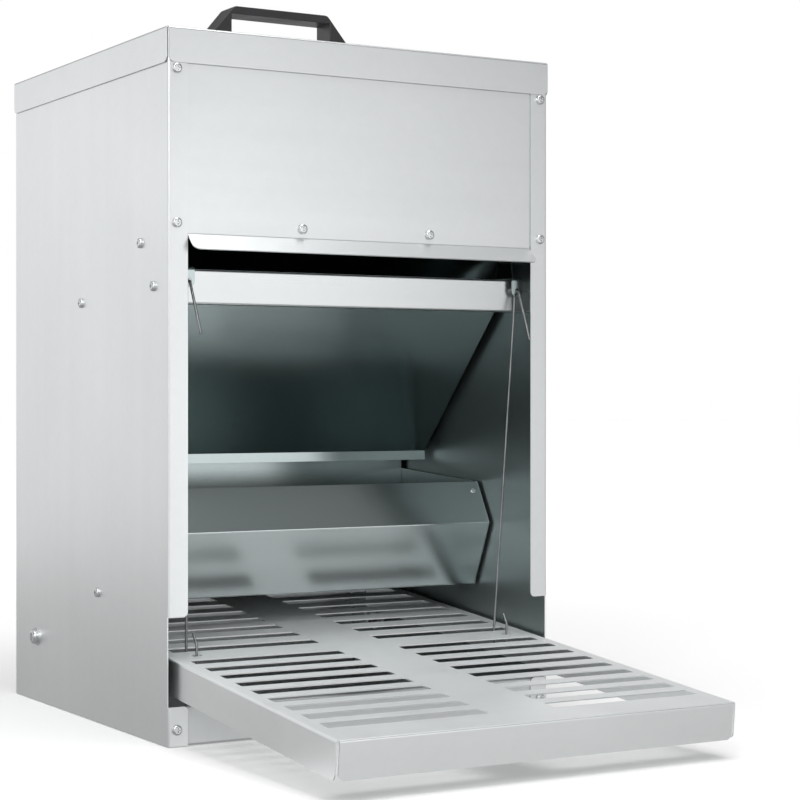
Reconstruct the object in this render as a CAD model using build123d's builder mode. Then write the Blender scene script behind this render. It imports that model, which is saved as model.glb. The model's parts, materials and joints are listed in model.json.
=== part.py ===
"""Treadle chicken feeder: a sheet-metal housing with a hopper, a trough, a hinged flap and a treadle.

Frame: x across the feeder (0 on its middle plane), y from front to back, z up.
The origin is the centre of the housing's footprint on the floor. Sizes are in millimetres.
The feeder stands open: the treadle is down and the flap is swung back.
"""

from build123d import *
from math import cos, radians, sin
import os

# ---------------------------------------------------------------- driving dimensions
width = 300.0
depth = 290.0
lid_top = 473.0
sheet = 0.8
bend = 0.8                      # inside bend radius of the sheet

front = -depth / 2              # y of the housing's front face
back = depth / 2
wall = width / 2 - sheet        # x of the side panels' inner faces
panel_top = lid_top - sheet - 0.3

flange = 14.2                   # width of the side panels' front and rear flanges
opening_foot = 84.8             # lowest point of the long flange, above the treadle
base_top = 25.0                 # top edge of the base tray
visor_bend = 337.0              # height where the front panel bends out into its visor

lid_overhang = 1.2
lid_skirt = 23.6
seam = 0.8                      # open corner seams of the lid

bar_y = front + 15.0            # cross bar's front face
bar_bottom = 291.7
bar_top = 315.0

flap_pivot = (front + 45.2, 333.2)
flap_half = 144.3
flap_upper = (front + 62.0, 293.0)      # two points on the flap's front face, flap open
flap_lower = (front + 163.0, 187.5)
flap_web_z = bar_top + 0.5              # underside of the flap's level web

treadle_pivot = (front + 243.2, 48.4)
treadle_half = 144.5
treadle_front = (front - 220.0, 35.9)   # front edge of the tread's top face, treadle down
treadle_slope = 5.2                     # degrees, rising towards the back
treadle_length = 478.0
treadle_skirt = 24.0

wire = 1.8                              # pull rod diameter
rod_top = (130.8, front + 10.2, 306.7)  # where the rod turns over in the flap's tab
rod_foot = (123.5, front + 30.0)        # where the rod passes down through the tread
hook_y = front + 13.2                   # where its hook comes up again

trough_lip = (front + 89.0, 165.0)
trough_ridge = (front + 72.0, 134.5)
trough_foot = (front + 93.0, 86.4)
trough_back = front + 204.0
trough_half = 147.0

m4 = 4.0
m6 = 6.0
screw_clearance = 0.2                   # radial, in sheet holes
running = 0.05                          # radial, in pivots

os.makedirs("parts", exist_ok=True)


# ---------------------------------------------------------------- helpers
def finish(piece, label):
    """Name a piece and write it as its own file."""
    piece.label = label
    export_step(piece, f"parts/{label}.step")


def side_view(x=0.0):
    """Plane looking along -x: local x runs from front to back, local y runs up."""
    return Plane(origin=(x, 0, 0), x_dir=(0, 1, 0), z_dir=(1, 0, 0))


def bent_profile(plane, points, side, radius=bend + sheet):
    """Closed outline of a sheet that follows the points, its thickness on one side of them."""
    with BuildSketch(plane) as profile:
        with BuildLine():
            FilletPolyline(*points, radius=radius)
            offset(amount=sheet, side=side)
        make_face()
    return profile.sketch


def pan_screw(length, diameter=m4, head_radius=3.4, head_height=2.3):
    """Pan head screw with a cross recess; head above z = 0 and shank below it."""
    with BuildPart() as screw:
        with BuildSketch():
            Circle(head_radius)
        extrude(amount=head_height)
        fillet(screw.edges().group_by(Axis.Z)[-1], head_height * 0.62)
        with BuildSketch():
            Circle(diameter / 2)
        extrude(amount=-length)
        with BuildSketch(Plane.XY.offset(head_height)):
            Rectangle(head_radius, 0.8)
            Rectangle(0.8, head_radius)
        extrude(amount=-1.1, mode=Mode.SUBTRACT)
    return screw.part


def hex_nut(diameter, across_flats, height):
    """Hexagon nut standing on z = 0, bored to sit on its screw."""
    with BuildPart() as nut:
        with BuildSketch():
            RegularPolygon(across_flats / 2, 6, major_radius=False, rotation=30)
            Circle(diameter / 2, mode=Mode.SUBTRACT)
        extrude(amount=height)
        chamfer(nut.edges().group_by(Axis.Z)[-1].filter_by(GeomType.LINE), 0.4)
    return nut.part


def ring(outer_radius, inner_radius, height):
    """Washer or bush standing on z = 0."""
    with BuildPart() as washer:
        with BuildSketch():
            Circle(outer_radius)
            Circle(inner_radius, mode=Mode.SUBTRACT)
        extrude(amount=height)
    return washer.part


def side_plane(side, x, y, z, direction=1):
    """Plane on a side wall, side -1 or 1; its z points out of the feeder, or in for direction -1."""
    return Plane(origin=(side * x, y, z), x_dir=(0, 1, 0), z_dir=(side * direction, 0, 0))


def facing(x, y, z, direction):
    """Plane whose z points to the front (direction -1) or to the back (direction 1)."""
    return Plane(origin=(x, y, z), x_dir=(1, 0, 0), z_dir=(0, direction, 0))


def group(shape, planes, label):
    """One node of identical pieces, a copy of the shape on each plane."""
    with BuildPart() as pieces:
        with Locations(*planes):
            add(shape)
    finish(pieces.part, label)


def mirrored(piece, name):
    """Write a right-hand piece and its left-hand twin."""
    finish(mirror(piece, about=Plane.YZ), f"{name}_left")
    finish(piece, f"{name}_right")


# ---------------------------------------------------------------- where the screws go
sides = (-1, 1)
screw_x = width / 2 - 6.2                       # in the middle of the flanges
base_screw_z = 10.9
flange_screw_z = (445.5, 344.2)
back_screw_z = (445.8, 250.0, 60.0)
slope_screw = (50.4, 343.7)                     # x and z, through the front panel
back_slope_screw = (80.0, 342.0)                # x and z, through the back panel
bar_screw = (front + 23.4, 303.3)               # y and z, the rest through the side panels
hopper_screw = (front + 152.0, 297.0)
trough_screw = (front + 121.3, 91.7)
trough_rear_screw = (80.0, 153.0)               # x and z, rear slope to trough
wall_holes = (
    (flap_pivot, m4 / 2 + screw_clearance),
    (bar_screw, m4 / 2 + screw_clearance),
    (hopper_screw, m4 / 2 + screw_clearance),
    (trough_screw, m4 / 2 + screw_clearance),
    (treadle_pivot, m6 / 2 + screw_clearance),
)
drill = 4 * sheet                               # deep enough for any of the sheets

# ---------------------------------------------------------------- side panels
base_flange_top = 26.0

with BuildPart() as side_panel:
    plan = (
        (width / 2 - flange, front),
        (width / 2, front),
        (width / 2, back),
        (width / 2 - flange, back),
    )
    add(extrude(bent_profile(Plane.XY, plan, Side.LEFT), panel_top, mode=Mode.PRIVATE))
    # the front flange stops above the treadle and starts again beside the base tray
    with BuildSketch(facing(0, front, 0, -1)):
        with Locations((width / 2, (base_flange_top + opening_foot) / 2)):
            Rectangle(2 * flange + 2, opening_foot - base_flange_top)
    extrude(amount=-2 * sheet, mode=Mode.SUBTRACT)
    free_edges = side_panel.edges().filter_by(Axis.Y).filter_by_position(
        Axis.X, width / 2 - flange - 0.1, width / 2 - flange + 0.1
    )
    fillet(free_edges.filter_by_position(Axis.Z, base_flange_top - 1, opening_foot + 1), 3.5)
    for (y, z), radius in wall_holes:
        with Locations(side_plane(1, width / 2, y, z)):
            Hole(radius, depth=drill)
    for z in flange_screw_z + (base_screw_z,):
        with Locations(facing(screw_x, front, z, -1)):
            Hole(m4 / 2 + screw_clearance, depth=drill)
    for z in back_screw_z + (base_screw_z,):
        with Locations(facing(screw_x, back, z, 1)):
            Hole(m4 / 2 + screw_clearance, depth=drill)
mirrored(side_panel.part, "side_panel")

# ---------------------------------------------------------------- back panel
panel_half = wall - 1.0                         # clear of the flanges' bends
panel_fold = panel_top - 1.4

with BuildPart() as back_panel:
    outline = ((back - sheet, 1.2), (back - sheet, panel_fold), (back - sheet - 10, panel_fold))
    extrude(bent_profile(side_view(), outline, Side.LEFT), panel_half, both=True)
    for side in sides:
        for z in back_screw_z + (base_screw_z,):
            with Locations(facing(side * screw_x, back, z, 1)):
                Hole(m4 / 2 + screw_clearance, depth=drill)
        with Locations(facing(side * back_slope_screw[0], back, back_slope_screw[1], 1)):
            Hole(m4 / 2 + screw_clearance, depth=drill)
finish(back_panel.part, "back_panel")

# ---------------------------------------------------------------- base tray
tray_side = 14.0                                # height of the tray's side flanges

with BuildPart() as base_tray:
    outline = (
        (front + sheet + 6, base_top),
        (front + sheet, base_top),
        (front + sheet, 0),
        (back - 2 * sheet, 0),
        (back - 2 * sheet, base_top),
    )
    extrude(bent_profile(side_view(), outline, Side.LEFT), panel_half, both=True)
    with BuildSketch(Plane.XY):
        with Locations((sheet / 2 - panel_half, 0), (panel_half - sheet / 2, 0)):
            Rectangle(sheet, depth - 16)
    extrude(amount=tray_side)
    for side in sides:
        with Locations(facing(side * screw_x, front, base_screw_z, -1)):
            Hole(m4 / 2 + screw_clearance, depth=drill)
        with Locations(facing(side * screw_x, back, base_screw_z, 1)):
            Hole(m4 / 2 + screw_clearance, depth=drill)
finish(base_tray.part, "base_tray")

# ---------------------------------------------------------------- front panel with its visor
visor_reach = 10.0
visor_drop = 10.0
visor_half = width / 2 - flange - 0.3           # passes between the flanges

with BuildPart() as front_panel:
    outline = (
        (front + sheet, panel_top - 1),
        (front + sheet, visor_bend),
        (front - visor_reach, visor_bend - visor_drop),
    )
    extrude(bent_profile(side_view(), outline, Side.LEFT), panel_half, both=True)
    with BuildSketch(facing(0, front - 2 * visor_reach, visor_bend - visor_drop, -1)):
        with Locations((-(visor_half + flange), 0), (visor_half + flange, 0)):
            Rectangle(2 * flange, 2 * visor_drop + 4)
    extrude(amount=-3 * visor_reach, mode=Mode.SUBTRACT)
    visor_corners = front_panel.edges().filter_by(lambda edge: edge.length < 1.2 * sheet)
    fillet(visor_corners.group_by(Axis.Y)[0], 4.5)
    for side in sides:
        for z in flange_screw_z:
            with Locations(facing(side * screw_x, front, z, -1)):
                Hole(m4 / 2 + screw_clearance, depth=drill)
        with Locations(facing(side * slope_screw[0], front, slope_screw[1], -1)):
            Hole(m4 / 2 + screw_clearance, depth=drill)
finish(front_panel.part, "front_panel")

# ---------------------------------------------------------------- cross bar over the opening
bar_ear = 18.0

with BuildPart() as cross_bar:
    outline = (
        (bar_y + 12, bar_top),
        (bar_y, bar_top),
        (bar_y, bar_bottom),
        (bar_y + 8, bar_bottom),
    )
    extrude(bent_profile(side_view(), outline, Side.LEFT), wall - sheet, both=True)
    for side in sides:
        with BuildSketch(side_plane(side, wall, bar_y + bar_ear / 2, (bar_top + bar_bottom) / 2)):
            Rectangle(bar_ear, bar_top - bar_bottom - 4 * sheet)
        extrude(amount=-sheet)
        with Locations(side_plane(side, wall, *bar_screw)):
            Hole(m4 / 2 + screw_clearance, depth=drill)
finish(cross_bar.part, "cross_bar")

# ---------------------------------------------------------------- hopper
flap_fall = (flap_upper[1] - flap_lower[1]) / (flap_lower[0] - flap_upper[0])
slope_start = (front + 2 * sheet, 394.0)
slope_end_y = front + 172.0
slope_end = (slope_end_y, slope_start[1] - (slope_end_y - slope_start[0]) * flap_fall)
rear_slope_half = 146.0
rear_guide_y = trough_back - 2 * sheet          # front face of the upright rear guide, on the trough
throat_top = 232.0

with BuildPart() as hopper_front_slope:
    outline = ((slope_start[0], visor_bend + 2), slope_start, slope_end)
    extrude(bent_profile(side_view(), outline, Side.RIGHT), wall - sheet, both=True)
    # the upright flange is narrower than the slope and clears the panel nuts
    with BuildSketch(facing(0, front, visor_bend, -1)):
        with Locations((-wall, 0), (wall, 0)):
            Rectangle(24, 2 * (slope_start[1] - visor_bend) + 4)
    extrude(amount=-4 * sheet - 0.8, mode=Mode.SUBTRACT)
    for side in sides:
        with Locations(facing(side * slope_screw[0], front, slope_screw[1], -1)):
            Hole(m4 / 2 + screw_clearance, depth=2 * drill)
finish(hopper_front_slope.part, "hopper_front_slope")

with BuildPart() as hopper_rear_slope:
    outline = (
        (back - 3 * sheet, 352.0),
        (back - 3 * sheet, 330.0),
        (rear_guide_y, throat_top),
        (rear_guide_y, trough_rear_screw[1] - 6),
    )
    extrude(bent_profile(side_view(), outline, Side.LEFT), rear_slope_half, both=True)
    for side in sides:
        with Locations(facing(side * back_slope_screw[0], back, back_slope_screw[1], 1)):
            Hole(m4 / 2 + screw_clearance, depth=2 * drill)
        with Locations(facing(side * trough_rear_screw[0], rear_guide_y, trough_rear_screw[1], -1)):
            Hole(m4 / 2 + screw_clearance, depth=drill)
finish(hopper_rear_slope.part, "hopper_rear_slope")

with BuildPart() as hopper_side:
    with BuildSketch(side_view(wall)):
        with BuildLine():
            Polyline(
                (front + 76.0, 311.0),
                (slope_end[0] - 4, slope_end[1] - 6),
                (rear_guide_y + 2 * sheet, slope_end[1] - 6),
                (rear_guide_y + 2 * sheet, throat_top),
                (front + 274.0, 311.0),
                close=True,
            )
        make_face()
    extrude(amount=-sheet)
    with Locations(side_plane(1, wall, *hopper_screw)):
        Hole(m4 / 2 + screw_clearance, depth=drill)
mirrored(hopper_side.part, "hopper_side")

# ---------------------------------------------------------------- trough
trough_rear_top = 172.0
trough_line = (
    trough_lip,
    trough_ridge,
    trough_foot,
    (trough_back, trough_foot[1]),
    (trough_back, trough_rear_top),
)

lip_run = Vector(0, trough_lip[0] - trough_ridge[0], trough_lip[1] - trough_ridge[1]).normalized()
lip_face = Plane(origin=(0, *trough_lip), x_dir=(1, 0, 0), z_dir=Vector(1, 0, 0).cross(lip_run))
rivet_x = trough_half - 6.5
rivet_drop = 8.0                                # below the lip
rivet_shank = 1.2
rivet_head = 2.2

with BuildPart() as feed_trough:
    extrude(bent_profile(side_view(), trough_line, Side.LEFT), trough_half - sheet, both=True)
    for side in sides:
        with Locations(facing(side * trough_rear_screw[0], trough_back, trough_rear_screw[1], 1)):
            Hole(m4 / 2 + screw_clearance, depth=drill)
        with Locations(lip_face * Location((side * rivet_x, -rivet_drop, 0))):
            Hole(rivet_shank, depth=drill)
finish(feed_trough.part, "feed_trough")

with BuildPart() as trough_end:
    with BuildSketch(side_view(trough_half)):
        with BuildLine():
            Polyline(*trough_line, close=True)
        make_face()
    extrude(amount=-sheet)
    with Locations(side_plane(1, trough_half, *trough_screw)):
        Hole(m4 / 2 + screw_clearance, depth=drill)
    # a tab folded in behind the lip takes the rivet
    with BuildSketch(lip_face.offset(-sheet)):
        with Locations((rivet_x, -rivet_drop)):
            Rectangle(2 * (trough_half - rivet_x), 11)
            Circle(rivet_shank, mode=Mode.SUBTRACT)
    extrude(amount=-sheet)
mirrored(trough_end.part, "trough_end")

# ---------------------------------------------------------------- flap
flap_fold_y = flap_upper[0] - (flap_web_z - flap_upper[1]) / flap_fall
flap_web_y = front + 35.0                       # front edge of the level web
flap_lip = 7.5
tab_width = 9.0
tab_foot = rod_top[2] - 4.2
tab_hole = 2.1
ear_radius = 6.8
flap_bush = 3.0                                 # radius of the sleeve it turns on

with BuildPart() as flap:
    outline = (
        (flap_web_y, flap_web_z),
        (flap_fold_y, flap_web_z),
        flap_lower,
        (flap_lower[0] - 0.5, flap_lower[1] - flap_lip),
    )
    extrude(bent_profile(side_view(), outline, Side.LEFT), flap_half, both=True)
    # two tongues reach forward over the cross bar and hang down in front of it
    tab_y = rod_top[1] + sheet / 2
    tongue = ((flap_web_y + 3, flap_web_z), (tab_y, flap_web_z), (tab_y, tab_foot))
    for side in sides:
        with BuildPart(mode=Mode.PRIVATE) as tab:
            strip = bent_profile(side_view(side * rod_top[0]), tongue, Side.RIGHT)
            extrude(strip, tab_width / 2, both=True)
            fillet(tab.edges().filter_by(Axis.Y).group_by(Axis.Z)[0], tab_width / 2 - 0.4)
            with Locations(facing(side * rod_top[0], rod_top[1] - sheet, rod_top[2], -1)):
                Hole(tab_hole, depth=drill)
        add(tab.part)
    # folded ears carry the flap on its pivots
    for side in sides:
        with BuildSketch(side_view(side * (flap_half - sheet / 2))):
            Polygon(
                (flap_web_y, flap_web_z + sheet / 2),
                (flap_fold_y, flap_web_z + sheet / 2),
                (flap_upper[0] + 6, flap_upper[1] - 6 * flap_fall + sheet / 2),
                (flap_pivot[0] + ear_radius, flap_pivot[1]),
                (flap_pivot[0] - ear_radius, flap_pivot[1]),
                align=None,
            )
            with Locations(flap_pivot):
                Circle(ear_radius)
        extrude(amount=sheet / 2, both=True)
        with Locations(side_plane(side, flap_half, *flap_pivot)):
            Hole(flap_bush + running, depth=drill)
finish(flap.part, "flap")

# ---------------------------------------------------------------- treadle
# it is shaped level, its front edge on y = 0 and its top on z = 0, then put in place
tilt = radians(treadle_slope)
treadle_place = Plane(origin=(0, *treadle_front), x_dir=(1, 0, 0), z_dir=(0, -sin(tilt), cos(tilt)))

slot_inner = 23.5
slot_outer = 135.0
front_rows = 9
front_pitch = 22.7
front_row_y = -186.8                            # from the housing's front face
front_slot = 12.4
rear_rows = 8
rear_pitch = 27.5
rear_row_y = 32.8
rear_slot = 12.8
seam_gap = 0.7
rear_fold = 12.0
treadle_ear = 11.0
treadle_bush = 4.0
rod_hole = 2.0
hook_slot = (8.0, 4.0)


def on_tread(y_from_front):
    """Distance up the tread of a point given by its distance behind the housing's front face."""
    return (front + y_from_front - treadle_front[0]) / cos(tilt)


pivot_run = treadle_pivot[0] - treadle_front[0]
pivot_rise = treadle_pivot[1] - treadle_front[1]
pivot_along = pivot_run * cos(tilt) + pivot_rise * sin(tilt)
pivot_drop = pivot_rise * cos(tilt) - pivot_run * sin(tilt)

with BuildPart() as treadle:
    across = (
        (-treadle_half, -treadle_skirt),
        (-treadle_half, 0),
        (treadle_half, 0),
        (treadle_half, -treadle_skirt),
    )
    section = bent_profile(Plane.XZ.offset(-seam_gap), across, Side.RIGHT)
    extrude(section, -(treadle_length - 2 * seam_gap))
    fillet(treadle.edges().filter_by(Axis.X).group_by(Axis.Z)[0].group_by(Axis.Y)[0], 4)
    lengthwise = (
        (0, -treadle_skirt),
        (0, 0),
        (treadle_length, 0),
        (treadle_length, -rear_fold),
    )
    fold_half = treadle_half - seam_gap - bend - sheet
    extrude(bent_profile(side_view(), lengthwise, Side.RIGHT), fold_half, both=True)
    skirt_corners = treadle.edges().filter_by(Axis.Y).group_by(Axis.Y)[0].group_by(Axis.Z)[0]
    fillet(skirt_corners, 4)
    for side in sides:
        with BuildSketch(side_view(side * (treadle_half - sheet / 2))):
            Polygon(
                (pivot_along - 24, -treadle_skirt + 1),
                (pivot_along - treadle_ear * 0.8, pivot_drop - treadle_ear * 0.6),
                (pivot_along + treadle_ear * 0.8, pivot_drop - treadle_ear * 0.6),
                (treadle_length - 3, -treadle_skirt + 1),
                align=None,
            )
            with Locations((pivot_along, pivot_drop)):
                Circle(treadle_ear)
        extrude(amount=sheet / 2, both=True)
        with Locations(side_plane(side, treadle_half, pivot_along, pivot_drop)):
            Hole(treadle_bush + running, depth=drill)
    slot_length = slot_outer - slot_inner
    slot_x = (slot_outer + slot_inner) / 2
    front_row = [on_tread(front_row_y + i * front_pitch) for i in range(front_rows)]
    rear_row = [on_tread(rear_row_y + i * rear_pitch) for i in range(rear_rows)]
    with BuildSketch():
        with Locations(*[(side * slot_x, y) for side in sides for y in front_row]):
            RectangleRounded(slot_length, front_slot, 1)
        with Locations(*[(side * slot_x, y) for side in sides for y in rear_row]):
            RectangleRounded(slot_length, rear_slot, 1)
        with Locations(*[(side * rod_foot[0], on_tread(rod_foot[1] - front)) for side in sides]):
            Circle(rod_hole)
        with Locations(*[(side * rod_foot[0], on_tread(hook_y - front)) for side in sides]):
            SlotOverall(*hook_slot)
    extrude(amount=-drill, mode=Mode.SUBTRACT)
finish(treadle_place.location * treadle.part, "treadle")

# ---------------------------------------------------------------- pull rods
tread_rise = 22.0                               # from the tread's front edge to the rod's foot
rod_bend = 2.5
hook_bend = 4.5
rod_path = (
    (front - 7.4, 271.2),                       # end of the free leg
    (rod_top[1] - 2.2, rod_top[2]),
    (rod_top[1] + 2.5, rod_top[2]),             # turned over through the flap's tab
    (rod_foot[1] + 0.5, 49.8),
    (hook_y, 49.8),
    (hook_y - 0.4, 64.3),
    (hook_y + 4.5, 71.2),                       # tip of the hook above the tread
)
# the rod hangs in a plane that leans inwards at the foot
lean = Vector(rod_top[0] - rod_foot[0], 0, rod_top[2] - treadle_front[1] - tread_rise)
rod_plane = Plane(
    origin=(rod_top[0], rod_top[1], rod_top[2]),
    x_dir=(0, 1, 0),
    z_dir=Vector(0, 1, 0).cross(lean),
)

with BuildPart() as pull_rod:
    with BuildLine(rod_plane) as route:
        points = [(y - rod_top[1], z - rod_top[2]) for y, z in rod_path]
        FilletPolyline(*points, radius=(rod_bend, rod_bend, hook_bend, hook_bend, rod_bend))
    with BuildSketch(Plane(origin=route.line @ 0, z_dir=route.line % 0)):
        Circle(wire / 2)
    sweep(path=route.line)
mirrored(pull_rod.part, "pull_rod")

# ---------------------------------------------------------------- lid and handle
lid_half = width / 2 + lid_overhang
lid_deep = depth / 2 + lid_overhang
lid_foot = lid_top - lid_skirt
handle_y = -4.0
handle_wide = 22.0                              # front to back
handle_foot = (77.0, lid_top)                   # half length on the lid
handle_shoulder = (54.0, lid_top + 27.0)
handle_crown = (39.0, lid_top + 45.0)
handle_gap = (41.0, lid_top + 39.1)             # half length and top of the finger gap
handle_screw_x = 56.0
handle_rim = 0.9                                # edge rounding

with BuildPart() as lid:
    across = ((-lid_half, lid_foot), (-lid_half, lid_top), (lid_half, lid_top), (lid_half, lid_foot))
    extrude(bent_profile(Plane.XZ, across, Side.RIGHT), lid_deep - seam - bend, both=True)
    lengthwise = ((-lid_deep, lid_foot), (-lid_deep, lid_top), (lid_deep, lid_top), (lid_deep, lid_foot))
    extrude(bent_profile(side_view(), lengthwise, Side.RIGHT), lid_half - seam - bend, both=True)
    skirt_corners = lid.edges().filter_by(lambda edge: edge.length < 1.2 * sheet).group_by(Axis.Z)[0]
    fillet(skirt_corners, 4)
    for side in sides:
        with Locations((side * handle_screw_x, handle_y, lid_top)):
            Hole(m4 / 2 + screw_clearance, depth=drill)
finish(lid.part, "lid")

with BuildPart() as lid_handle:
    with BuildSketch(Plane.XZ.offset(-handle_y)):
        with BuildLine():
            half = (handle_foot, handle_shoulder, handle_crown)
            Polyline(*half, *[(-x, z) for x, z in reversed(half)], close=True)
        make_face()
        with Locations((0, (handle_gap[1] + lid_top) / 2)):
            Rectangle(2 * handle_gap[0], handle_gap[1] - lid_top, mode=Mode.SUBTRACT)
    extrude(amount=handle_wide / 2, both=True)
    fillet(lid_handle.edges().filter_by(Axis.Y).group_by(Axis.Z)[-1], 5)
    rims = lid_handle.edges().filter_by(lambda edge: edge.center().Z > lid_top + 1)
    fillet(rims.group_by(Axis.Y)[0] + rims.group_by(Axis.Y)[-1], handle_rim)
    for side in sides:
        with Locations(Plane(origin=(side * handle_screw_x, handle_y, lid_top), z_dir=(0, 0, -1))):
            Hole(m4 / 2 + running, depth=12)
finish(lid_handle.part, "lid_handle")

# ---------------------------------------------------------------- fasteners
nut_height = 3.2
m6_nut_height = 5.0
thread_end = 0.8                                # thread showing past a nut
washer = 0.8
m6_washer = 1.2
shank_gap = 0.1                                 # radial, round a clamped screw
end_play = 0.3                                  # between a swinging ear and what holds it

nut = hex_nut(m4, 7.0, nut_height)


def wall_fixing(name, spot, inner):
    """Screws through both side panels at a spot (y, z), with nuts on the faces at x = inner."""
    screw = pan_screw(width / 2 - inner + nut_height + thread_end)
    group(screw, [side_plane(side, width / 2, *spot) for side in sides], f"{name}_screws")
    group(nut, [side_plane(side, inner, *spot, -1) for side in sides], f"{name}_nuts")


def face_fixing(name, spots, head, inner, direction):
    """Screws at spots (x, z) on both sides, heads on y = head and nuts on y = inner."""
    screw = pan_screw(abs(inner - head) + nut_height + thread_end)
    places = [(side * x, z) for side in sides for x, z in spots]
    group(screw, [facing(x, head, z, direction) for x, z in places], f"{name}_screws")
    group(nut, [facing(x, inner, z, -direction) for x, z in places], f"{name}_nuts")


def bush(collar_radius, collar, sleeve_radius, sleeve, bore):
    """Stepped bush standing on z = 0: a wide collar, then the sleeve an ear turns on."""
    with BuildPart() as stepped:
        Cylinder(collar_radius, collar, align=(Align.CENTER, Align.CENTER, Align.MIN))
        with Locations((0, 0, collar)):
            Cylinder(sleeve_radius, sleeve, align=(Align.CENTER, Align.CENTER, Align.MIN))
        Hole(bore)
    return stepped.part


def pivot(name, spot, ear, diameter, bush_radius, head, nut_shape, washer_height, outer_washer):
    """Bolt, stepped bush, washers and nut that an ear, at x = ear - sheet to ear, turns on."""
    collar_end = ear + end_play
    sleeve_end = ear - sheet - end_play
    seat = width / 2 + outer_washer
    inner = sleeve_end - washer_height
    length = seat - inner + nut_shape.bounding_box().size.Z + thread_end
    stepped = bush(
        bush_radius + 2.4, wall - collar_end, bush_radius, collar_end - sleeve_end, diameter / 2 + shank_gap
    )
    plate = ring(diameter / 2 + 3.6, diameter / 2 + shank_gap, washer_height)
    washers = [side_plane(side, sleeve_end, *spot, -1) for side in sides]
    if outer_washer:
        washers += [side_plane(side, width / 2, *spot) for side in sides]
    bolts = [side_plane(side, seat, *spot) for side in sides]
    group(pan_screw(length, diameter, *head), bolts, f"{name}_bolts")
    group(stepped, [side_plane(side, wall, *spot, -1) for side in sides], f"{name}_bushes")
    group(plate, washers, f"{name}_washers")
    group(nut_shape, [side_plane(side, inner, *spot, -1) for side in sides], f"{name}_nuts")


wall_fixing("cross_bar", bar_screw, wall - sheet)
wall_fixing("hopper_side", hopper_screw, wall - sheet)
wall_fixing("trough", trough_screw, trough_half - sheet)
spacer = ring(m4 / 2 + 3.0, m4 / 2 + shank_gap, wall - trough_half)
group(spacer, [side_plane(side, trough_half, *trough_screw) for side in sides], "trough_spacers")

face_fixing("front_panel", [(screw_x, z) for z in flange_screw_z], front, front + 2 * sheet, -1)
face_fixing("back_panel", [(screw_x, z) for z in back_screw_z], back, back - 2 * sheet, 1)
face_fixing("base_front", [(screw_x, base_screw_z)], front, front + 2 * sheet, -1)
face_fixing("base_rear", [(screw_x, base_screw_z)], back, back - 3 * sheet, 1)
face_fixing("hopper_front", [slope_screw], front + sheet, front + 3 * sheet, -1)
face_fixing("hopper_rear", [back_slope_screw], back - sheet, back - 3 * sheet, 1)
face_fixing("trough_rear", [trough_rear_screw], trough_back - 2 * sheet, trough_back, -1)

pivot("flap_pivot", flap_pivot, flap_half, m4, flap_bush, (3.4, 2.3), nut, washer, 0)
m6_nut = hex_nut(m6, 10.0, m6_nut_height)
m6_head = (5.4, 3.4)
pivot("treadle_pivot", treadle_pivot, treadle_half, m6, treadle_bush, m6_head, m6_nut, m6_washer, m6_washer)

with BuildPart() as rivet_shape:
    Cylinder(rivet_shank, 2 * sheet + 0.6, align=(Align.CENTER, Align.CENTER, Align.MAX))
    Cylinder(rivet_head, 0.9, align=(Align.CENTER, Align.CENTER, Align.MIN))
    fillet(rivet_shape.edges().group_by(Axis.Z)[-1], 0.6)
rivet_spots = [lip_face * Location((side * rivet_x, -rivet_drop, 0)) for side in sides]
group(rivet_shape.part, rivet_spots, "trough_rivets")

handle_screw = pan_screw(sheet + washer + 10)
under_lid = lid_top - sheet
screw_spots = [(side * handle_screw_x, handle_y) for side in sides]
group(
    ring(m4 / 2 + 3.0, m4 / 2 + shank_gap, washer),
    [Plane(origin=(x, y, under_lid), z_dir=(0, 0, -1)) for x, y in screw_spots],
    "handle_washers",
)
group(
    handle_screw,
    [Plane(origin=(x, y, under_lid - washer), z_dir=(0, 0, -1)) for x, y in screw_spots],
    "handle_screws",
)
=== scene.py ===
"""Treadle chicken feeder: sheet, fastener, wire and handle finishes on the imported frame, in a plain studio.

Metres, in the frame of the CAD model: x across, y from front to back, z up.
"""

import json
from math import radians

import bpy
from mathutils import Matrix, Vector

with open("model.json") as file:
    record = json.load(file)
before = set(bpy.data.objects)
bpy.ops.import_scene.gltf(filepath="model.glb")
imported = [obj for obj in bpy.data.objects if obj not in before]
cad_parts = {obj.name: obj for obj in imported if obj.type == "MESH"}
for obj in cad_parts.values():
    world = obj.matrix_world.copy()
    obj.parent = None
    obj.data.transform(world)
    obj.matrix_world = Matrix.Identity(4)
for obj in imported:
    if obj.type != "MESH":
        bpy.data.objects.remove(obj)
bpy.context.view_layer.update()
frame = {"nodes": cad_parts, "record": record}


# ---------------------------------------------------------------- material helpers
MIX_A, MIX_B, MIX_RESULT = 6, 7, 2              # colour sockets of a Mix node


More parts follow.
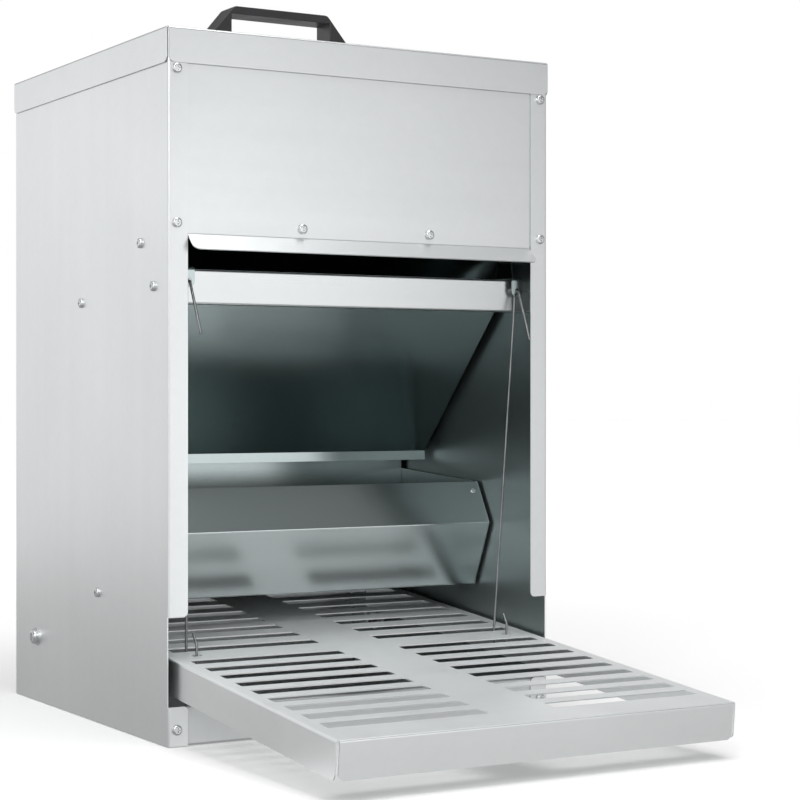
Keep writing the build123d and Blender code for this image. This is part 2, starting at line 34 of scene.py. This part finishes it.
class Nodes:
    """Short calls for building one material's node tree."""

    def __init__(self, name, material=None):
        self.material = material or bpy.data.materials.new(name)
        self.material.use_nodes = True
        self.tree = self.material.node_tree
        self.shader = self.tree.nodes["Principled BSDF"]
        self.place = self.add("ShaderNodeTexCoord").outputs["Object"]

    def add(self, kind, **settings):
        node = self.tree.nodes.new(kind)
        for name, value in settings.items():
            setattr(node, name, value)
        return node

    def link(self, source, target):
        self.tree.links.new(source, target)

    def stretched(self, scale):
        """Object coordinates scaled along each axis, so that a texture can run one way."""
        mapping = self.add("ShaderNodeMapping")
        mapping.inputs["Scale"].default_value = scale
        self.link(self.place, mapping.inputs["Vector"])
        return mapping.outputs["Vector"]

    def noise(self, scale, detail=3.0, stretch=(1, 1, 1), distortion=0.0):
        """Noise texture, scale in cells per metre."""
        node = self.add("ShaderNodeTexNoise")
        node.inputs["Scale"].default_value = scale
        node.inputs["Detail"].default_value = detail
        node.inputs["Distortion"].default_value = distortion
        self.link(self.stretched(stretch), node.inputs["Vector"])
        return node.outputs["Fac"]

    def crystals(self, scale):
        """One random grey for each cell of zinc spangle."""
        node = self.add("ShaderNodeTexVoronoi")
        node.inputs["Scale"].default_value = scale
        node.inputs["Randomness"].default_value = 1.0
        self.link(self.place, node.inputs["Vector"])
        grey = self.add("ShaderNodeSeparateColor")
        self.link(node.outputs["Color"], grey.inputs["Color"])
        return grey.outputs["Red"]

    def spread(self, factor, low, high, start=0.3, end=0.7):
        """The factor's start to end range moved to low to high."""
        node = self.add("ShaderNodeMapRange")
        node.inputs["From Min"].default_value = start
        node.inputs["From Max"].default_value = end
        node.inputs["To Min"].default_value = low
        node.inputs["To Max"].default_value = high
        self.link(factor, node.inputs["Value"])
        return node.outputs["Result"]

    def plus(self, first, second):
        node = self.add("ShaderNodeMath", operation="ADD")
        self.link(first, node.inputs[0])
        self.link(second, node.inputs[1])
        return node.outputs["Value"]

    def blend(self, factor, low, high):
        """Colour between two colours."""
        node = self.mix(factor)
        node.inputs[MIX_A].default_value = (*low, 1)
        node.inputs[MIX_B].default_value = (*high, 1)
        return node.outputs[MIX_RESULT]

    def mix(self, factor):
        node = self.add("ShaderNodeMix", data_type="RGBA")
        self.link(factor, node.inputs[0])
        return node

    def facing(self):
        """Which way the surface faces, as X, Y and Z outputs."""
        return self.axes(self.add("ShaderNodeTexCoord").outputs["Normal"])

    def axes(self, vector):
        node = self.add("ShaderNodeSeparateXYZ")
        self.link(vector, node.inputs["Vector"])
        return node.outputs

    def bump(self, height, strength, distance):
        node = self.add("ShaderNodeBump")
        node.inputs["Strength"].default_value = strength
        node.inputs["Distance"].default_value = distance
        self.link(height, node.inputs["Height"])
        self.link(node.outputs["Normal"], self.shader.inputs["Normal"])


sheet_metallic = 0.92
skirt_metallic = 0.92
tread_metallic = 0.4


def zinc_sheet(name, dark, light, rough, grain, metallic, sheen=0.012):
    """Smooth galvanised sheet: faint spangle, rolled grain along one axis, cloudy sheen and smears."""
    n = Nodes(name)
    spangle = n.spread(n.crystals(170), -0.07, 0.07, 0.0, 1.0)
    rolled = n.spread(n.noise(60, 4, grain), -0.1, 0.1)
    cloud = n.spread(n.noise(5, 3, distortion=0.4), 0.25, 0.75)
    tone = n.plus(cloud, n.plus(spangle, rolled))
    n.link(n.blend(tone, dark, light), n.shader.inputs["Base Color"])
    smear = n.spread(n.noise(9, 2, distortion=0.3), rough - sheen, rough + sheen)
    streak = n.spread(n.noise(90, 3, grain), -sheen, sheen)
    n.link(n.plus(smear, streak), n.shader.inputs["Roughness"])
    n.bump(n.noise(260, 2, grain), 0.4 * sheen, 0.0002)
    n.shader.inputs["Metallic"].default_value = metallic
    return n.material


def worn_tread(name, dark, light, rough, grain):
    """Galvanised sheet whose upward face is scuffed dull and dusty by feet; its skirts stay bright."""
    material = zinc_sheet(name, dark, light, rough, grain, skirt_metallic)
    n = Nodes(name, material)
    patch = n.spread(n.noise(22, 4, distortion=0.5), -0.05, 0.05)
    scuffed = n.spread(n.facing()["Z"], skirt_metallic, tread_metallic, 0.4, 0.9)
    n.link(n.plus(scuffed, patch), n.shader.inputs["Metallic"])
    return material


def paint_shade(n, factor, shade_grey):
    """Move the base colour that a sheet already has towards a painted shade grey by a factor."""
    unshaded = n.shader.inputs["Base Color"].links[0].from_socket
    mix = n.mix(factor)
    n.link(unshaded, mix.inputs[MIX_A])
    mix.inputs[MIX_B].default_value = (*shade_grey, 1)
    n.link(mix.outputs[MIX_RESULT], n.shader.inputs["Base Color"])


def two_faced(name, dark, light, rough, grain, shade_grey):
    """Side panel sheet: the outside keeps the plain sheet greys; its face towards the feeder's middle is
    darkened as painted shade of the housing's inside.
    """
    material = zinc_sheet(name, dark, light, rough, grain, sheet_metallic)
    n = Nodes(name, material)
    outwards = n.add("ShaderNodeMath", operation="MULTIPLY")
    n.link(n.axes(n.place)["X"], outwards.inputs[0])
    n.link(n.facing()["X"], outwards.inputs[1])
    # painted shade: the side panels' inward faces move to the darker grey
    paint_shade(n, n.spread(outwards.outputs["Value"], 1, 0, -0.1, -0.02), shade_grey)
    return material


def shaded_lip(name, dark, light, rough, grain, lip_shade):
    """Trough sheet: its upward lip is darkened grey as painted shade, standing in for the dark reflection it
    shows, and the face under the lip stays bright.
    """
    material = zinc_sheet(name, dark, light, rough, grain, 1.0, 0.006)
    n = Nodes(name, material)
    # painted shade: the trough's upward-facing faces move to the darker grey
    paint_shade(n, n.spread(n.facing()["Z"], 0, 1, 0.1, 0.4), lip_shade)
    return material


def zinc_plate(name, dark, light, rough):
    """Bright zinc plating on small hardware, cloudy and slightly scuffed."""
    n = Nodes(name)
    tone = n.noise(420, 4, distortion=0.8)
    n.link(n.blend(n.spread(tone, 0, 1), dark, light), n.shader.inputs["Base Color"])
    n.link(n.spread(n.noise(700, 4), rough - 0.05, rough + 0.08), n.shader.inputs["Roughness"])
    n.bump(n.noise(1600, 3), 0.12, 0.0001)
    n.shader.inputs["Metallic"].default_value = 1.0
    return n.material


def drawn_wire(name):
    """Drawn steel wire: fine lines along it and a dull zinc bloom."""
    n = Nodes(name)
    tone = n.plus(n.spread(n.noise(900, 3, (1, 1, 0.06)), 0.1, 0.7), n.spread(n.noise(60), -0.1, 0.2))
    n.link(n.blend(tone, (0.17, 0.18, 0.18), (0.42, 0.43, 0.43)), n.shader.inputs["Base Color"])
    n.link(n.spread(n.noise(500, 4), 0.3, 0.45), n.shader.inputs["Roughness"])
    n.bump(n.noise(2200, 2, (1, 1, 0.04)), 0.15, 0.0001)
    n.shader.inputs["Metallic"].default_value = 1.0
    return n.material


def moulded_black(name):
    """Black moulded plastic with a fine spark texture, rubbed a little smoother in patches."""
    n = Nodes(name)
    tone = n.spread(n.noise(35, 4), 0, 1)
    n.link(n.blend(tone, (0.010, 0.010, 0.011), (0.020, 0.020, 0.022)), n.shader.inputs["Base Color"])
    n.link(n.spread(n.noise(26, 5, distortion=0.8), 0.3, 0.42), n.shader.inputs["Roughness"])
    n.bump(n.noise(1500, 2), 0.35, 0.0003)
    return n.material


# ---------------------------------------------------------------- finishes on the CAD nodes
upright_grain = (1, 1, 0.03)
level_grain = (0.03, 1, 1)
# darker grey painted on the side panels' inward faces as shade
inside_shade_zinc = (0.33, 0.375, 0.375)
# darker grey painted on the trough's upward lip as shade
lip_shade_zinc = (0.29, 0.33, 0.33)

outer_tones = ((0.73, 0.75, 0.755), (0.81, 0.83, 0.835))            # each finish runs from dark to light
across_tones = ((0.71, 0.73, 0.735), (0.79, 0.81, 0.815))
trough_tones = ((0.56, 0.61, 0.61), (0.64, 0.69, 0.69))
outer = two_faced("galvanised_outer", *outer_tones, 0.36, upright_grain, inside_shade_zinc)
across = zinc_sheet("galvanised_across", *across_tones, 0.34, level_grain, sheet_metallic)
tread = worn_tread("galvanised_tread", (0.85, 0.87, 0.875), (0.92, 0.94, 0.945), 0.36, level_grain)
bar = zinc_sheet("galvanised_bar", (0.64, 0.66, 0.665), (0.70, 0.72, 0.725), 0.28, level_grain, 0.95, 0.008)
tray = zinc_sheet("galvanised_tray", (0.60, 0.62, 0.625), (0.68, 0.70, 0.705), 0.36, level_grain, 0.5)
trough = shaded_lip("galvanised_trough", *trough_tones, 0.22, level_grain, lip_shade_zinc)
# darker, greener greys than the outside sheet: painted shade of the housing's inside
inner = zinc_sheet("galvanised_inner_shaded", (0.39, 0.45, 0.45), (0.46, 0.52, 0.52), 0.22, level_grain, 1.0, 0.006)
zinc = zinc_plate("zinc_plated", (0.55, 0.57, 0.58), (0.78, 0.79, 0.80), 0.22)
wire = drawn_wire("drawn_wire")
black = moulded_black("moulded_black")

special = {
    "treadle": tread,
    "cross_bar": bar,
    "feed_trough": trough,
    "lid": across,
    "front_panel": across,
    "base_tray": tray,
}
by_slot = {"outer_sheet": outer, "inner_sheet": inner, "fasteners": zinc, "wire": wire, "handle": black}
for part in frame["record"]["subparts"]:
    node = frame["nodes"][part["node"]]
    finish = special.get(part["node"], by_slot[part["material_slot"]])
    if not node.material_slots:
        node.data.materials.append(finish)
    for slot in node.material_slots:
        slot.material = finish


# ---------------------------------------------------------------- studio
def pale_floor():
    n = Nodes("studio_floor")
    tone = n.spread(n.noise(3, 2), 0, 1)
    n.link(n.blend(tone, (0.90, 0.90, 0.90), (0.92, 0.92, 0.92)), n.shader.inputs["Base Color"])
    n.shader.inputs["Roughness"].default_value = 0.7
    n.shader.inputs["Specular IOR Level"].default_value = 0.2
    n.shader.inputs["Emission Color"].default_value = (1, 1, 1, 1)
    # painted light: the floor glows, dimmer close to the feeder, which paints a soft shadow around it
    reach = n.add("ShaderNodeVectorMath", operation="LENGTH")
    n.link(n.place, reach.inputs[0])
    painted_glow = n.spread(reach.outputs["Value"], 0.12, 0.5, 0.35, 1.6)
    n.link(painted_glow, n.shader.inputs["Emission Strength"])
    bpy.ops.mesh.primitive_plane_add(size=30, location=(0, 0, -0.0005))
    floor = bpy.context.object
    floor.name = "floor"
    floor.visible_diffuse = False
    floor.visible_glossy = False
    floor.data.materials.append(n.material)


def dim_floor():
    """What the sheet metal mirrors of the floor on its left and behind it, where the light doesn't reach."""
    n = Nodes("studio_shade")
    patch = n.spread(n.noise(3, 2), 0, 1)
    n.link(n.blend(patch, (0.31, 0.31, 0.31), (0.37, 0.37, 0.37)), n.shader.inputs["Emission Color"])
    n.shader.inputs["Emission Strength"].default_value = 1.0
    n.shader.inputs["Base Color"].default_value = (0.02, 0.02, 0.02, 1)
    bpy.ops.mesh.primitive_plane_add(size=1.4, location=(-0.85, 0.45, -0.002))
    shade = bpy.context.object
    shade.name = "floor_shade"
    shade.visible_camera = False
    shade.visible_diffuse = False
    shade.visible_shadow = False
    shade.data.materials.append(n.material)


def softbox(name, location, target, size, power):
    """Square area light aimed at a point."""
    light = bpy.data.lights.new(name, "AREA")
    light.size = size
    light.energy = power
    box = bpy.data.objects.new(name, light)
    bpy.context.collection.objects.link(box)
    box.location = location
    box.rotation_euler = (Vector(target) - Vector(location)).to_track_quat("-Z", "Y").to_euler()


def studio_world():
    """White to the camera; for light and reflections, brightest at the horizon and on the left."""
    world = bpy.data.worlds.new("studio")
    bpy.context.scene.world = world
    world.use_nodes = True
    tree = world.node_tree
    seen = tree.nodes["Background"]
    seen.inputs["Color"].default_value = (1, 1, 1, 1)
    lit = tree.nodes.new("ShaderNodeBackground")
    direction = tree.nodes.new("ShaderNodeTexCoord")
    parts = tree.nodes.new("ShaderNodeSeparateXYZ")
    height = tree.nodes.new("ShaderNodeMapRange")
    height.inputs["From Min"].default_value = -1        # straight down
    height.inputs["From Max"].default_value = 1         # straight up
    bands = tree.nodes.new("ShaderNodeValToRGB")
    bands.color_ramp.interpolation = "EASE"
    bands.color_ramp.elements.remove(bands.color_ramp.elements[0])
    for place, grey in world_bands:
        bands.color_ramp.elements.new(place).color = (grey, grey, grey, 1)
    bands.color_ramp.elements.remove(bands.color_ramp.elements[-1])
    side = tree.nodes.new("ShaderNodeMapRange")
    side.interpolation_type = "SMOOTHSTEP"
    side.inputs["From Min"].default_value = -0.8
    side.inputs["From Max"].default_value = 0.8
    side.inputs["To Min"].default_value = world_left
    side.inputs["To Max"].default_value = world_right
    product = tree.nodes.new("ShaderNodeMath")
    product.operation = "MULTIPLY"
    rays = tree.nodes.new("ShaderNodeLightPath")
    pick = tree.nodes.new("ShaderNodeMixShader")
    tree.links.new(direction.outputs["Generated"], parts.inputs["Vector"])
    tree.links.new(parts.outputs["Z"], height.inputs["Value"])
    tree.links.new(height.outputs["Result"], bands.inputs["Fac"])
    tree.links.new(parts.outputs["X"], side.inputs["Value"])
    tree.links.new(bands.outputs["Color"], product.inputs[0])
    tree.links.new(side.outputs["Result"], product.inputs[1])
    tree.links.new(product.outputs["Value"], lit.inputs["Strength"])
    tree.links.new(rays.outputs["Is Camera Ray"], pick.inputs["Fac"])
    tree.links.new(lit.outputs["Background"], pick.inputs[1])
    tree.links.new(seen.outputs["Background"], pick.inputs[2])
    tree.links.new(pick.outputs["Shader"], tree.nodes["World Output"].inputs["Surface"])


# grey of the world from nadir (0) through the horizon (0.5) to the zenith (1)
world_bands = ((0.0, 0.4), (0.4, 0.95), (0.5, 1.0), (0.7, 0.36), (1.0, 0.45))
world_left = 1.3
world_right = 0.7
pale_floor()
dim_floor()
studio_world()
softbox("key", (-1.3, -1.6, 1.2), (0, -0.1, 0.2), 1.0, 12)
softbox("front", (0.8, -2.6, 0.3), (0, 0, 0.25), 1.4, 6)
softbox("side", (-1.3, 1.9, 1.1), (-0.15, 0, 0.35), 1.2, 1.6)
softbox("top", (0.0, -0.55, 2.0), (0, -0.2, 0), 1.2, 18)

camera = bpy.data.cameras.new("camera")
camera.lens = 92.18
camera.sensor_width = 36
viewer = bpy.data.objects.new("camera", camera)
bpy.context.collection.objects.link(viewer)
viewer.location = (-0.69775, -1.37868, 0.22941)
viewer.rotation_euler = (radians(89.925), 0, radians(-30.40))
bpy.context.scene.camera = viewer
bpy.context.scene.view_settings.view_transform = "Standard"
